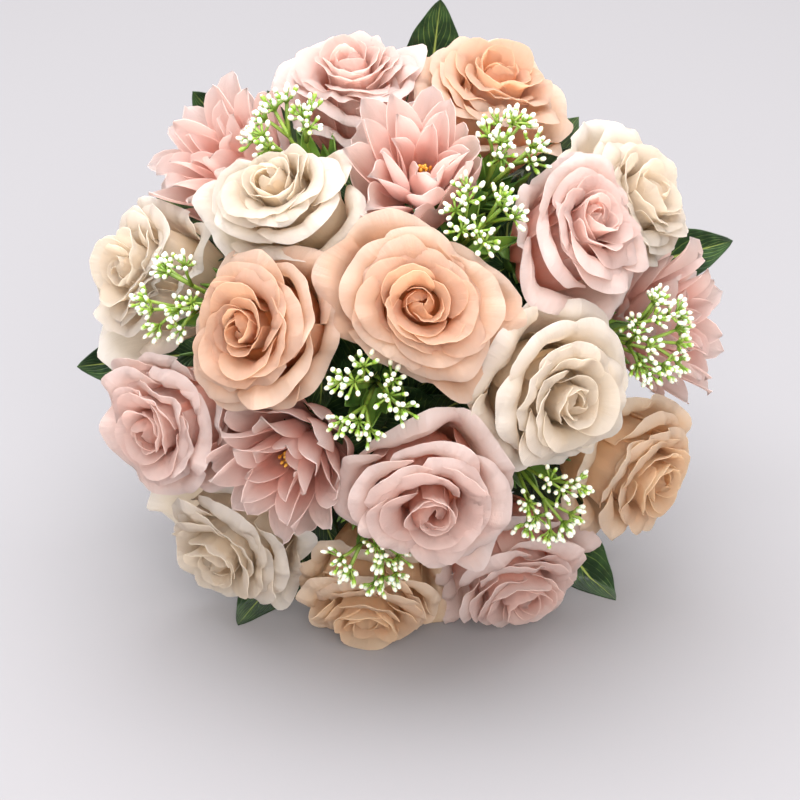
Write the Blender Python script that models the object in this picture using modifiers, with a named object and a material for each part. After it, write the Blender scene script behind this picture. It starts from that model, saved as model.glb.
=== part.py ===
"""Round hand-tied bridal bouquet of silk flowers, laid on its side with the dome raised.

Everything is modelled in the bouquet's own frame: the origin is the dome's centre and Z runs out of
the handle and through the middle of the dome. An empty lays that frame down on the surface.
Lengths are millimetres and angles are degrees until a mesh is made, which is in metres.
"""

import math
import random
from collections import namedtuple

import bmesh
import bpy
import numpy as np
from mathutils import Matrix, Vector

MM = 0.001

# How the bouquet lies
AXIS_RISE = 30.0        # its axis points this far above the surface
CENTRE_HEIGHT = 101.0   # the dome's centre over the surface
CENTRE_FORWARD = 22.1   # in front of the middle of the box
CENTRE_LEFT = 2.5       # and to the left of it

# Flower heads
HEAD_GAP = 0.25         # half the clear gap between neighbouring heads
PETAL = 0.8             # thickness of a petal
LEAF = 0.8              # thickness of a leaf
SEAT_GAP = 0.3          # between a head and the calyx under it
WALL_PIVOT = 82.0       # distance from the centre at which the wall between two heads may tilt
WALL_TILT = 14.0        # tilt of that wall for each step of lift between the two heads
WALL_SHARPNESS = 12     # how suddenly a petal turns aside at a wall
LEAF_CLEARANCE = 2.6    # between the middle of a leaf and the heads in front of it
PRESS = 2.4             # how far a petal would sink into the surface if that didn't flatten it
FLATTENED = 0.35        # what is closer than this to the surface lies on it
NOD = 0.35              # how far the faces at the rim of the dome turn to the front

# Stems, and the ribbon that holds them
STEM_RADIUS = 1.5
STALK_RADIUS = 1.4      # of the leaves
STEM_SPACING = 3.3
NECK = -78.0            # where the stems come together, along the axis
RIBBON_TOP = -80.0
RIBBON_THICKNESS = 1.2
STEM_END_SHOWN = 10.0   # length of stem below the ribbon
ROUTE_POINTS = 5        # along the bend of a stem

Head = namedtuple("Head", "name kind tone lean clock base spread lift turn")
Leaf = namedtuple("Leaf", "name clock tip_out tip_up length turn")

# lean is the angle from the axis, clock the angle round it from the right, base the distance of the
# head's underside from the centre, spread its half width seen from there, lift how far it stands over
# its neighbours, turn the spin of its petals
ROSES = [
    Head("rose_peach_1", "rose", "peach", 6, 50, 75, 15.5, 0.6, 18),
    Head("rose_peach_2", "rose", "peach", 29.5, 180, 75, 15, 0.4, 50),
    Head("rose_peach_3", "rose", "peach", 68, 69, 71.5, 15, 0.1, 200),
    Head("rose_white_1", "rose", "white", 38.5, 131, 75, 14.5, 0.1, 95),
    Head("rose_white_2", "rose", "white", 36, 337.5, 75, 15.5, 0.4, 134),
    Head("rose_white_3", "rose", "white", 69, 29, 76, 14.5, 0.0, 254),
    Head("rose_white_4", "rose", "white", 68, 168, 74, 14.5, 0.0, 20),
    Head("rose_white_5", "rose", "white", 77, 231.5, 77, 15, 0.1, 330),
    Head("rose_pink_1", "rose", "pink", 35.5, 280, 75, 16, 0.5, 300),
    Head("rose_pink_2", "rose", "pink", 45, 30.5, 76, 16, 0.3, 175),
    Head("rose_pink_3", "rose", "pink", 68, 101, 70, 14.5, 0.1, 75),
    Head("rose_pink_4", "rose", "pink", 60, 202, 77, 14.5, 0.1, 219),
    Head("rose_pink_5", "rose", "pink", 78, 295, 77, 15, 0.0, 120),
    Head("rose_cream_1", "rose", "cream", 77, 264, 75.5, 15, 0.0, 31),
    Head("rose_cream_2", "rose", "cream", 79, 330, 78, 14.5, 0.0, 256),
]
DAHLIAS = [
    Head("dahlia_1", "dahlia", "blush", 37.5, 82, 76, 13.5, 0.6, 15),
    Head("dahlia_2", "dahlia", "blush", 70, 135, 77, 14, 0.2, 54),
    Head("dahlia_3", "dahlia", "blush", 40.5, 229, 75, 14, 0.3, 94),
    Head("dahlia_4", "dahlia", "blush", 83, 2, 82, 14, 0.1, 127),
]
SPRAYS = [
    Head("spray_1", "spray", "green", 14.6, 245, 82, 7.5, 1.2, 0),
    Head("spray_2", "spray", "green", 52, 172, 82, 8.5, 1.4, 40),
    Head("spray_3", "spray", "green", 28, 54, 82, 6.5, 1.4, 80),
    Head("spray_4", "spray", "green", 53, 120, 82, 7.5, 1.4, 120),
    Head("spray_5", "spray", "green", 48, 59, 82, 6, 1.4, 160),
    Head("spray_6", "spray", "green", 63, 358, 84, 9.5, 1.4, 207),
    Head("spray_7", "spray", "green", 53, 311, 82, 7.5, 1.4, 240),
    Head("spray_8", "spray", "green", 54, 263, 82, 7, 1.2, 280),
]
SPRAY_ARMS = {"spray_6": 5}
USUAL_ARMS = 3
LEAVES = [
    Leaf("leaf_spray_1", 83, 133.5, -12, 50, 1),
    Leaf("leaf_spray_2", 131, 127, -14, 48, -5),
    Leaf("leaf_spray_3", 186.5, 131, -14, 50, 3),
    Leaf("leaf_spray_4", 243, 133, -7.5, 50, -4),
    Leaf("leaf_spray_5", 307.5, 143, -15.5, 52, 5),
    Leaf("leaf_spray_6", 15, 140, -24, 52, -3),
]

# Rings of petals, outermost first. A petal's midrib starts at a radius and a height over the head's
# base, and its slope turns from the foot to the belly, and at the turn to the lip. A rose petal's
# edges are tucked under the next one's, and a dahlia petal is half_width wide to each side.
Ring = namedtuple("Ring", "petals radius height length foot belly lip turn_at tuck half_width columns")
ROSE_RINGS = [
    Ring(5, 4.4, 0, 52, 10, 58, -30, 0.72, 1.2, None, None),
    Ring(5, 4.4, 2.2, 50, 24, 82, -45, 0.77, 1.2, None, None),
    Ring(3, 4.4, 5.4, 46.5, 38, 88, -30, 0.75, 0.8, None, None),
]
ROSE_COLUMNS = 15
ROSE_FOOT = 9.5         # radius of the flat underside
ROSE_SHARES = (0.36, 0.77, 1)  # foot, belly and lip of a petal, as shares of its length
LIP_NOTCH = 0.13        # share of its length by which a petal is shorter where the next one starts
LIP_DROOP = 2.5         # and how far its lip hangs there
VALLEYS = [(15.5, 11), (14.6, 26), (9.6, 31)]  # radius and height of the floor inside each ring
CUP_GAP = 1.6           # how much further than the outermost petals the inner ones stay from a neighbour
BUD = [(6.6, 45), (0, 41)]
BUD_SWIRL = 2.2         # how far the bud's rim winds in over one turn

DAHLIA_RINGS = [
    Ring(8, 5, 2, 40, 22, 52, 30, 0.7, 0, 6.8, 2),
    Ring(5, 5, 5.5, 37, 45, 66, 48, 0.7, 0, 6.4, 2),
    Ring(3, 5, 9, 32, 68, 80, 66, 0.7, 0, 5.4, 2),
]
DAHLIA_CORE = [(0, 0), (8, 0), (11.5, 4), (9, 11), (0, 12)]
DAHLIA_CORE_SIDES = 7
DAHLIA_FOLD = 2.0       # depth of the channel along a petal
STAMENS = [(0, 12.6), (2.2, 12.6), (3.6, 23), (2.6, 25), (0, 22.5)]
STAMEN_SIDES = 7

CALYX_LENGTH = 9.0
CALYX_POINTS = 5
CALYX_TIP = 8.5         # radius of the calyx at its points
CALYX_NOTCH = 4.5       # and between them

# Berry sprays
SPRAY_REACH = 117.0     # distance of the berries from the dome's centre
TWIG_RADIUS = 0.6
BERRY_RADIUS = 1.3
BERRY_LENGTH = 3.8
BERRY_SIDES = 3

LEAF_HALF_WIDTH = 13.0
LEAF_ARCH = 3.0         # how far the blade's edges stand over its midrib
LEAFLET_SCALE = 0.66
LEAFLET_ANGLE = 52.0
LEAFLET_BACK = 12.0     # distance of the side leaflets behind the leaf, along the stalk

COLOURS = {
    "peach": (0.84, 0.62, 0.42),
    "white": (0.87, 0.84, 0.77),
    "pink": (0.85, 0.66, 0.58),
    "cream": (0.88, 0.72, 0.50),
    "blush": (0.83, 0.50, 0.45),
    "stamen": (0.80, 0.45, 0.08),
    "green": (0.22, 0.36, 0.06),
    "leaf": (0.03, 0.07, 0.02),
    "ribbon": (0.86, 0.82, 0.74),
}
ROUGHNESS = {"green": 0.5, "leaf": 0.4, "ribbon": 0.35}
SILK_ROUGHNESS = 0.8


def smooth(x):
    """An even step from 0 to 1."""
    x = np.clip(x, 0.0, 1.0)
    return x * x * (3 - 2 * x)


def unit(vector):
    return vector / np.linalg.norm(vector)


def polar(lean, clock):
    """The direction that leans from the axis, at a clock angle round it."""
    lean, clock = math.radians(lean), math.radians(clock)
    return np.array([math.sin(lean) * math.cos(clock), math.sin(lean) * math.sin(clock), math.cos(lean)])


def head_axes(head):
    """A head's own axes: two across its face, and the one that it looks along."""
    lean, clock = math.radians(head.lean), math.radians(head.clock)
    down = np.array([math.cos(lean) * math.cos(clock), math.cos(lean) * math.sin(clock), -math.sin(lean)])
    side = np.array([-math.sin(clock), math.cos(clock), 0.0])
    return down, side, polar(head.lean, head.clock)


DOWN = np.array([0.0, -math.cos(math.radians(AXIS_RISE)), -math.sin(math.radians(AXIS_RISE))])


def leaf_line(leaf):
    """Where a leaf's blade starts, its direction, the direction across it, and the side of the heads."""
    clock = math.radians(leaf.clock)
    outward = np.array([math.cos(clock), math.sin(clock), 0.0])
    across = np.array([-math.sin(clock), math.cos(clock), 0.0])
    tip = outward * leaf.tip_out + np.array([0, 0, leaf.tip_up])
    along = unit(outward + np.array([0, 0, 0.45]))
    front = unit(np.cross(across, along))
    if front[2] < 0:
        front = -front
    return tip - along * leaf.length, along, across, front


def walls_of(head):
    """The flat walls that a head stays behind: a point on each, and its outward direction."""
    mine = polar(head.lean, head.clock)
    walls = [(DOWN * (CENTRE_HEIGHT + PRESS), DOWN)]
    for other in ROSES + DAHLIAS + SPRAYS:
        theirs = polar(other.lean, other.clock)
        angle = math.acos(min(1.0, mine @ theirs))
        if other is head or angle > math.radians(75):
            continue
        share = head.spread / (head.spread + other.spread)
        between = (mine * math.sin((1 - share) * angle) + theirs * math.sin(share * angle)) / math.sin(angle)
        outward = unit(theirs - (theirs @ between) * between)
        tilt = math.radians(WALL_TILT) * (head.lift - other.lift)
        walls.append((between * WALL_PIVOT, outward * math.cos(tilt) - between * math.sin(tilt)))
    for leaf in LEAVES:
        apart = (leaf.clock - head.clock + 180) % 360 - 180
        if abs(apart) < 50 and head.lean > 50:
            start, along, across, front = leaf_line(leaf)
            walls.append((start + front * LEAF_CLEARANCE, -front))
    return walls


def above_surface(points, lift=0.0):
    """Points kept lift over the surface, those that come close to it laid flat."""
    height = CENTRE_HEIGHT - lift - points @ DOWN
    return points + np.outer(np.where(height < FLATTENED, height, 0), DOWN)


def room_left(points, head, margin):
    """The share of each point's distance from its head's axis that keeps it from passing a wall."""
    out = polar(head.lean, head.clock)
    foot = np.outer(points @ out, out)
    crowding = np.zeros(len(points))
    for place, normal in walls_of(head):
        room = np.maximum((place - foot) @ normal - margin, 1.0)
        crowding += (np.clip((points - foot) @ normal, 0, None) / room) ** WALL_SHARPNESS
    return (1 + crowding) ** (-1 / WALL_SHARPNESS)


def squeeze(points, head, margin):
    """Draw points in towards a head's axis, so that none passes one of its walls."""
    out = polar(head.lean, head.clock)
    foot = np.outer(points @ out, out)
    return foot + (points - foot) * room_left(points, head, margin)[:, None]


def in_head(head, x, y, z):
    """Points given across a head's face and up from its base, in the bouquet's frame."""
    down, side, out = head_axes(head)
    nod = NOD * smooth((head.lean - 35) / 45) * smooth(z / 22)
    return np.outer(x, down) + np.outer(y, side) + np.outer(head.base + z + nod * x, out)


def midrib(ring, share):
    """Radius, height and slope of a petal's midrib at shares of its length."""
    steps = np.linspace(0, 1, 81)
    slope = np.radians(
        ring.foot
        + (ring.belly - ring.foot) * smooth(steps / 0.5)
        + (ring.lip - ring.belly) * smooth((steps - ring.turn_at) / (1 - ring.turn_at))
    )
    middle = (slope[1:] + slope[:-1]) / 2
    step = ring.length / 80
    radius = ring.radius + np.concatenate([[0], np.cumsum(np.cos(middle) * step)])
    height = ring.height + np.concatenate([[0], np.cumsum(np.sin(middle) * step)])
    return tuple(np.interp(share, steps, values) for values in (radius, height, slope))


def dahlia_petal(ring, u, v, spin, draw):
    """Points of a pointed petal with a channel along it."""
    radius, height, slope = midrib(ring, v)
    width = ring.half_width * (0.35 + 0.65 * smooth(v / 0.5)) * (1 - smooth((v - 0.5) / 0.5))
    cup = (DAHLIA_FOLD * np.abs(u) + draw.uniform(-0.3, 0.3) * u) * (1 - v)
    radius = radius - cup * np.sin(slope)
    height = height + cup * np.cos(slope)
    x = radius * math.cos(spin) - width * u * math.sin(spin)
    y = radius * math.sin(spin) + width * u * math.cos(spin)
    return x, y, height


def set_points(bm, points):
    for vert, point in zip(bm.verts, points):
        vert.co = Vector(point) * MM


def get_points(bm):
    return np.array([tuple(vert.co) for vert in bm.verts])


def open_grid(columns, rows):
    """A flat grid from -1 to 1 each way, and its two coordinates as u from -1 to 1 and v from 0 to 1."""
    bm = bmesh.new()
    bmesh.ops.create_grid(bm, x_segments=columns, y_segments=rows, size=1)
    flat = get_points(bm)
    return bm, flat[:, 0], (flat[:, 1] + 1) / 2


def keep(name, bm, group):
    """Make a bmesh an object of a collection."""
    mesh = bpy.data.meshes.new(name)
    bm.to_mesh(mesh)
    bm.free()
    obj = bpy.data.objects.new(name, mesh)
    group.objects.link(obj)
    return obj


def blade(name, bm, points, thickness, group):
    """A blade: the grid's open surface at its points, in triangles, then given its thickness."""
    set_points(bm, points)
    bmesh.ops.remove_doubles(bm, verts=bm.verts, dist=1e-5)
    bmesh.ops.triangulate(bm, faces=bm.faces)
    obj = keep(name, bm, group)
    wall = obj.modifiers.new("thickness", "SOLIDIFY")
    wall.thickness = thickness * MM
    wall.offset = 0
    return obj


def turned(profile, sides, swirl=0.0):
    """A closed body turned round Z from a profile of radius and height, in millimetres."""
    bm = bmesh.new()
    verts = [bm.verts.new((radius, 0, height)) for radius, height in profile]
    edges = [bm.edges.new(pair) for pair in zip(verts, verts[1:])]
    bmesh.ops.spin(bm, geom=verts + edges, axis=(0, 0, 1), cent=(0, 0, 0), angle=2 * math.pi,
                   steps=sides, use_merge=True)
    bmesh.ops.remove_doubles(bm, verts=bm.verts, dist=1e-4)
    heights = sorted({height for _, height in profile})
    for vert in bm.verts:
        rank = sum(height < vert.co.z - 1e-3 for height in heights)
        vert.co = Matrix.Rotation(math.radians(swirl * rank), 3, "Z") @ vert.co
    bmesh.ops.recalc_face_normals(bm, faces=bm.faces)
    return bm


def head_body(name, head, profile, sides, swirl, group):
    """A turned body on a head's axis, pressed in by its neighbours as the petals are."""
    bm = turned(profile, sides, swirl)
    local = get_points(bm)
    points = in_head(head, local[:, 0], local[:, 1], local[:, 2])
    set_points(bm, squeeze(points, head, 3.0))
    bmesh.ops.triangulate(bm, faces=bm.faces)
    return keep(name, bm, group)


def twig(start, tip, group):
    """A straight twig that ends in a small berry, in one turned body."""
    start, tip = Vector(start), Vector(tip)
    length = (tip - start).length
    profile = [(0, 0), (TWIG_RADIUS, 0), (TWIG_RADIUS * 0.8, length - BERRY_LENGTH),
               (BERRY_RADIUS, length - BERRY_LENGTH * 0.4), (0, length)]
    bm = turned(profile, BERRY_SIDES)
    place = Matrix.Translation(start) @ (tip - start).to_track_quat("Z", "Y").to_matrix().to_4x4()
    bmesh.ops.transform(bm, verts=bm.verts, matrix=Matrix.Scale(MM, 4) @ place)
    return keep("twig", bm, group)


def wire(points, radius, group):
    """A round wire along points, as a mesh with its caps welded."""
    curve = bpy.data.curves.new("wire", "CURVE")
    curve.dimensions = "3D"
    curve.bevel_depth = radius * MM
    curve.bevel_resolution = 0
    curve.use_fill_caps = True
    spline = curve.splines.new("POLY")
    spline.points.add(len(points) - 1)
    for place, point in zip(spline.points, points):
        place.co = (*(Vector(point) * MM), 1)
    line = bpy.data.objects.new("wire", curve)
    group.objects.link(line)
    mesh = bpy.data.meshes.new_from_object(line.evaluated_get(bpy.context.evaluated_depsgraph_get()))
    bpy.data.objects.remove(line)
    bm = bmesh.new()
    bm.from_mesh(mesh)
    bpy.data.meshes.remove(mesh)
    bmesh.ops.remove_doubles(bm, verts=bm.verts, dist=1e-6)
    return keep("wire", bm, group)


def fuse(name, core, pieces, tone, parts):
    """Join pieces to a core in one closed body, and keep that as a sub-part."""
    loose = bpy.data.collections.new("loose")
    bpy.context.scene.collection.children.link(loose)
    for piece in pieces:
        for group in piece.users_collection:
            group.objects.unlink(piece)
        loose.objects.link(piece)
    if pieces:
        union = core.modifiers.new("union", "BOOLEAN")
        union.operation = "UNION"
        union.operand_type = "COLLECTION"
        union.collection = loose
        union.solver = "EXACT"
    joined = core.evaluated_get(bpy.context.evaluated_depsgraph_get())
    mesh = bpy.data.meshes.new_from_object(joined)
    for piece in [core, *pieces]:
        bpy.data.objects.remove(piece)
    bpy.data.collections.remove(loose)
    mesh.name = name
    mesh.materials.clear()
    mesh.materials.append(MATERIALS[tone])
    obj = bpy.data.objects.new(name, mesh)
    obj.parent = LAID_DOWN
    parts.objects.link(obj)
    return obj


def make_materials():
    materials = {}
    for tone, colour in COLOURS.items():
        material = bpy.data.materials.new(tone)
        material.use_nodes = True
        shader = material.node_tree.nodes["Principled BSDF"]
        shader.inputs["Base Color"].default_value = (*colour, 1)
        shader.inputs["Roughness"].default_value = ROUGHNESS.get(tone, SILK_ROUGHNESS)
        shader.inputs["Metallic"].default_value = 0.0
        materials[tone] = material
    return materials


def petal_row(ring, start, uneven, angle, share):
    """Radius and height of one row round a ring of rose petals."""
    place = np.round((angle / (2 * math.pi) - start) * ring.petals, 6) % ring.petals
    number = np.floor(place).astype(int)
    u = 2 * (place - number) - 1
    corner = np.abs(u) ** 2.6 * (share == 1)
    radius, height, slope = midrib(ring, share - LIP_NOTCH * corner)
    out = ring.tuck * (u + 1 / 3) + uneven[number] * share
    return radius + out * np.sin(slope), height - out * np.cos(slope) - LIP_DROOP * corner


def make_rose(head, seed, work, parts):
    """A rose in one body: its surface rises over each ring of petals in turn, in to the bud."""
    draw = random.Random(seed)
    turns = np.linspace(0, 2 * math.pi, ROSE_COLUMNS + 1) % (2 * math.pi)
    level = np.zeros_like(turns)
    rows = [(level, level, 0, 0), (level + ROSE_FOOT, level, 0, 0)]
    for layer, (ring, valley) in enumerate(zip(ROSE_RINGS, VALLEYS)):
        start = layer * 2 / ROSE_COLUMNS
        uneven = np.array([draw.uniform(-0.7, 0.7) for _ in range(ring.petals)])
        foot, belly, lip = (petal_row(ring, start, uneven, turns, share) for share in ROSE_SHARES)
        if layer == 0:
            rows.append((*foot, 0, 0))
        rows.append((*belly, 0, 0))
        rows.append((*lip, 0, 0))
        rows.append((*lip, 0.2 * PETAL, PETAL))
        rows.append((*belly, PETAL, 0))
        rows.append((level + valley[0], level + valley[1], 0, 0))
        if layer == 0:
            outermost = len(rows)
    for radius, height in BUD:
        swirl = BUD_SWIRL * (turns / (2 * math.pi) - 0.5) * (radius > 0)
        rows.append((radius + swirl, level + height, 0, 0))

    # a side that meets a neighbour is drawn in as a whole, so that no ring crosses another
    angle = turns + math.radians(head.turn)
    across, along = np.cos(angle), np.sin(angle)

    def room_of(rows, gap):
        return np.min([room_left(in_head(head, radius * across, radius * along, height), head, gap)
                       for radius, height, inwards, up in rows], axis=0)

    rooms = [room_of(rows[:outermost], HEAD_GAP)] * outermost
    rooms += [room_of(rows[outermost:], HEAD_GAP + CUP_GAP)] * (len(rows) - outermost)
    bm, u, v = open_grid(ROSE_COLUMNS, len(rows) - 1)
    points = np.zeros((len(u), 3))
    for k, (radius, height, inwards, up) in enumerate(rows):
        here = np.round(v * (len(rows) - 1)).astype(int) == k
        column = np.round((u[here] + 1) / 2 * ROSE_COLUMNS).astype(int)
        radius = (radius * rooms[k] - inwards)[column]
        points[here] = in_head(head, radius * across[column], radius * along[column], height[column] + up)
    set_points(bm, above_surface(points))
    bmesh.ops.remove_doubles(bm, verts=bm.verts, dist=1e-5)
    bmesh.ops.recalc_face_normals(bm, faces=bm.faces)
    bmesh.ops.triangulate(bm, faces=bm.faces)
    fuse(head.name, keep(head.name, bm, work), [], head.tone, parts)


def make_dahlia(head, seed, work, parts):
    """A dahlia: pointed petals in rings, out of a small core, round a tuft of stamens."""
    draw = random.Random(seed)
    petals = []
    spin = math.radians(head.turn)
    for layer, ring in enumerate(DAHLIA_RINGS):
        for count in range(ring.petals):
            bm, u, v = open_grid(ring.columns, 2)
            angle = spin + 2 * math.pi * count / ring.petals + draw.uniform(-0.1, 0.1)
            x, y, z = dahlia_petal(ring, u, v, angle, draw)
            points = above_surface(squeeze(in_head(head, x, y, z), head, HEAD_GAP + PETAL / 2), PETAL)
            petals.append(blade("petal", bm, points, PETAL, work))
        spin += math.pi / ring.petals + 0.2
    core = head_body("core", head, DAHLIA_CORE, DAHLIA_CORE_SIDES, 0.0, work)
    fuse(head.name, core, petals, head.tone, parts)
    stamens = head_body("stamens", head, STAMENS, STAMEN_SIDES, 20.0, work)
    fuse(head.name + "_stamens", stamens, [], "stamen", parts)


def stem_spots(stalks):
    """Where each stem runs through the bundle: leaning ones outside, then pushed apart evenly."""
    order = sorted(range(len(stalks)), key=lambda k: stalks[k][0])
    spots = np.zeros((len(stalks), 2))
    widest = STEM_SPACING * math.sqrt(len(stalks)) * 0.52
    for rank, k in enumerate(order):
        clock = math.radians(stalks[k][1])
        radius = widest * math.sqrt((rank + 0.3) / len(stalks))
        spots[k] = radius * math.cos(clock), radius * math.sin(clock)
    for _ in range(400):
        apart = spots[:, None] - spots[None]
        distance = np.linalg.norm(apart, axis=2) + np.eye(len(stalks)) * 99
        push = np.clip(STEM_SPACING - distance, 0, None) / distance
        spots += 0.5 * (apart * push[:, :, None]).sum(axis=1) - 0.002 * spots
    return spots


def stem_route(start, heading, spot, end):
    """A stem's points: a curve from its flower to the neck, then straight along the handle."""
    neck = np.array([spot[0], spot[1], NECK])
    bend_a = start - heading * 26
    bend_b = neck + np.array([0, 0, 42])
    route = []
    for t in np.linspace(0, 1, ROUTE_POINTS):
        a, b, c, d = (1 - t) ** 3, 3 * t * (1 - t) ** 2, 3 * t * t * (1 - t), t**3
        route.append(a * start + b * bend_a + c * bend_b + d * neck)
    route.append(np.array([spot[0], spot[1], end]))
    return route


def make_calyx(head, group):
    """The green star under a head, tapering to its stem."""
    bm = bmesh.new()
    bmesh.ops.create_cone(bm, cap_ends=True, segments=2 * CALYX_POINTS, radius1=STEM_RADIUS * 0.9,
                          radius2=CALYX_TIP, depth=CALYX_LENGTH)
    local = get_points(bm)
    top = local[:, 2] > 0
    angle = np.arctan2(local[:, 1], local[:, 0])
    notch = top & (np.cos(CALYX_POINTS * (angle - angle[top][0])) < 0)
    local[notch, :2] *= CALYX_NOTCH / CALYX_TIP
    height = local[:, 2] - CALYX_LENGTH / 2 - SEAT_GAP
    set_points(bm, in_head(head, local[:, 0], local[:, 1], height))
    bmesh.ops.recalc_face_normals(bm, faces=bm.faces)
    return keep("calyx", bm, group)


def make_stem(head, spot, end, work, parts):
    out = polar(head.lean, head.clock)
    start = out * (head.base - SEAT_GAP - CALYX_LENGTH + 2)
    fuse("stem_of_" + head.name, wire(stem_route(start, out, spot, end), STEM_RADIUS, work),
         [make_calyx(head, work)], "green", parts)


def make_spray(head, spot, end, seed, work, parts):
    """Twigs that fan out from the end of a stem between the flowers, each with a berry at its tip."""
    draw = random.Random(seed)
    out = polar(head.lean, head.clock)
    knot = out * head.base
    spread = 0.62 * SPRAY_REACH * math.tan(math.radians(head.spread)) + 4
    arms = SPRAY_ARMS.get(head.name, USUAL_ARMS)
    pieces = []
    for arm in range(arms):
        angle = math.radians(head.turn) + 2 * math.pi * (arm + draw.uniform(-0.12, 0.12)) / arms
        ends = []
        for sway, far, fall in ((0, 0.75, 0), (-0.55, 1.2, 3), (0.5, 1.1, 5)):
            height = SPRAY_REACH - head.base - fall + draw.uniform(-1, 2)
            x = spread * far * math.cos(angle + sway)
            y = spread * far * math.sin(angle + sway)
            ends.append(squeeze(in_head(head, x, y, height), head, BERRY_RADIUS + HEAD_GAP)[0])
        fork = knot + (ends[0] - knot) * 0.5
        pieces.append(twig(knot - out, ends[0], work))
        pieces.extend(twig(fork, tip, work) for tip in ends[1:])
    stalk = wire(stem_route(knot, out, spot, end), STEM_RADIUS, work)
    fuse(head.name, stalk, pieces, "green", parts)


def leaf_blade(start, along, across, front, length, half_width, group):
    """A broad pointed leaf, arched along its midrib with raised edges."""
    bm, u, v = open_grid(2, 4)
    width = half_width * np.sin(np.pi * v**0.72) ** 0.8
    arch = LEAF_ARCH * (np.abs(u) * np.sin(np.pi * v) - 1.2 * np.sin(np.pi * v))
    points = start + np.outer(v * length, along) + np.outer(u * width, across) + np.outer(arch, front)
    return blade("leaf", bm, above_surface(points, LEAF / 2), LEAF, group)


def make_leaf_spray(leaf, spot, end, work, parts):
    """A stalk with one leaf at its end and two smaller ones beside it."""
    start, along, across, front = leaf_line(leaf)
    blades = [leaf_blade(start - along, along, across, front, leaf.length + 1, LEAF_HALF_WIDTH, work)]
    fork = start - along * LEAFLET_BACK
    for side in (-1, 1):
        angle = math.radians(LEAFLET_ANGLE + leaf.turn * side)
        heading = along * math.cos(angle) + across * side * math.sin(angle)
        sideways = across * math.cos(angle) - along * side * math.sin(angle)
        blades.append(leaf_blade(fork - heading * 2, heading, sideways, front,
                                 leaf.length * LEAFLET_SCALE, LEAF_HALF_WIDTH * LEAFLET_SCALE, work))
    route = [start + along * 1.2, *stem_route(fork - along * 3, along, spot, end)]
    fuse(leaf.name, wire(route, STALK_RADIUS, work), blades, "leaf", parts)


def make_ribbon(spots, end, work, parts):
    """The sleeve of ribbon wound round the stems."""
    sides = 16
    inner = (np.linalg.norm(spots, axis=1).max() + STEM_RADIUS + SEAT_GAP) / math.cos(math.pi / sides)
    outer = inner + RIBBON_THICKNESS
    bottom = end + STEM_END_SHOWN
    bm = bmesh.new()
    corners = [(inner, bottom), (outer, bottom), (outer, RIBBON_TOP), (inner, RIBBON_TOP)]
    verts = [bm.verts.new((radius, 0, height)) for radius, height in corners]
    edges = [bm.edges.new((verts[k], verts[(k + 1) % 4])) for k in range(4)]
    bmesh.ops.spin(bm, geom=verts + edges, axis=(0, 0, 1), cent=(0, 0, 0), angle=2 * math.pi,
                   steps=sides, use_merge=True)
    bmesh.ops.remove_doubles(bm, verts=bm.verts, dist=1e-4)
    bmesh.ops.scale(bm, verts=bm.verts, vec=(MM, MM, MM))
    bmesh.ops.recalc_face_normals(bm, faces=bm.faces)
    fuse("ribbon_wrap", keep("ribbon", bm, work), [], "ribbon", parts)


def main():
    flowers = ROSES + DAHLIAS
    stalks = [(item.lean, item.clock) for item in flowers + SPRAYS] + [(115, leaf.clock) for leaf in LEAVES]
    spots = stem_spots(stalks)
    slope = math.radians(AXIS_RISE)
    lowest = (-spots[:, 1]).max() + STEM_RADIUS
    end = -(CENTRE_HEIGHT - lowest * math.cos(slope)) / math.sin(slope)

    work = bpy.data.collections.new("work")
    parts = bpy.data.collections.new("bridal_bouquet")
    bpy.context.scene.collection.children.link(work)
    bpy.context.scene.collection.children.link(parts)
    for count, head in enumerate(ROSES):
        make_rose(head, 100 + count, work, parts)
    for count, head in enumerate(DAHLIAS):
        make_dahlia(head, 200 + count, work, parts)
    places = iter(spots)
    for head in flowers:
        make_stem(head, next(places), end, work, parts)
    for count, head in enumerate(SPRAYS):
        make_spray(head, next(places), end, 300 + count, work, parts)
    for leaf in LEAVES:
        make_leaf_spray(leaf, next(places), end, work, parts)
    make_ribbon(spots, end, work, parts)
    bpy.data.collections.remove(work)


for old in list(bpy.data.objects):
    bpy.data.objects.remove(old)
MATERIALS = make_materials()
LAID_DOWN = bpy.data.objects.new("bouquet", None)
bpy.context.scene.collection.objects.link(LAID_DOWN)
LAID_DOWN.location = (-CENTRE_LEFT * MM, -CENTRE_FORWARD * MM, CENTRE_HEIGHT * MM)
LAID_DOWN.rotation_euler = (math.radians(90 - AXIS_RISE), 0, 0)
main()
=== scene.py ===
import math
import random
from collections import namedtuple

import bmesh
import bpy
import numpy as np
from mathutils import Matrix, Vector


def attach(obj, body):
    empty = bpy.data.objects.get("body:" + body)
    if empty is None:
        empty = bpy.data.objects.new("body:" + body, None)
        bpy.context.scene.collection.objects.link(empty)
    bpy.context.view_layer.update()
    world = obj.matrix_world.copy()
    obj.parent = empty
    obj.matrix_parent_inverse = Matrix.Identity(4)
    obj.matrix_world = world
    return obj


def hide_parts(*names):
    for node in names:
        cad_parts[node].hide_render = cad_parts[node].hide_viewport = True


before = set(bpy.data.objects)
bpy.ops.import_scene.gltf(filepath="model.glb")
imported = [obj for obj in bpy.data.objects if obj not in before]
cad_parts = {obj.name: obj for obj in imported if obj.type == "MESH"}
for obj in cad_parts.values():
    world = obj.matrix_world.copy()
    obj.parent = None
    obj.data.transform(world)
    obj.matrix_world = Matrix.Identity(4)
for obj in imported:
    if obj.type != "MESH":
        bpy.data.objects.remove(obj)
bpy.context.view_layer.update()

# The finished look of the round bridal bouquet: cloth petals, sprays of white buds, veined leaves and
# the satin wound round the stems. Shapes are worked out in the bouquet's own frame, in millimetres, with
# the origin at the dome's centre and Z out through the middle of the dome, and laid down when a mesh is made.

MM = 0.001

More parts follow.
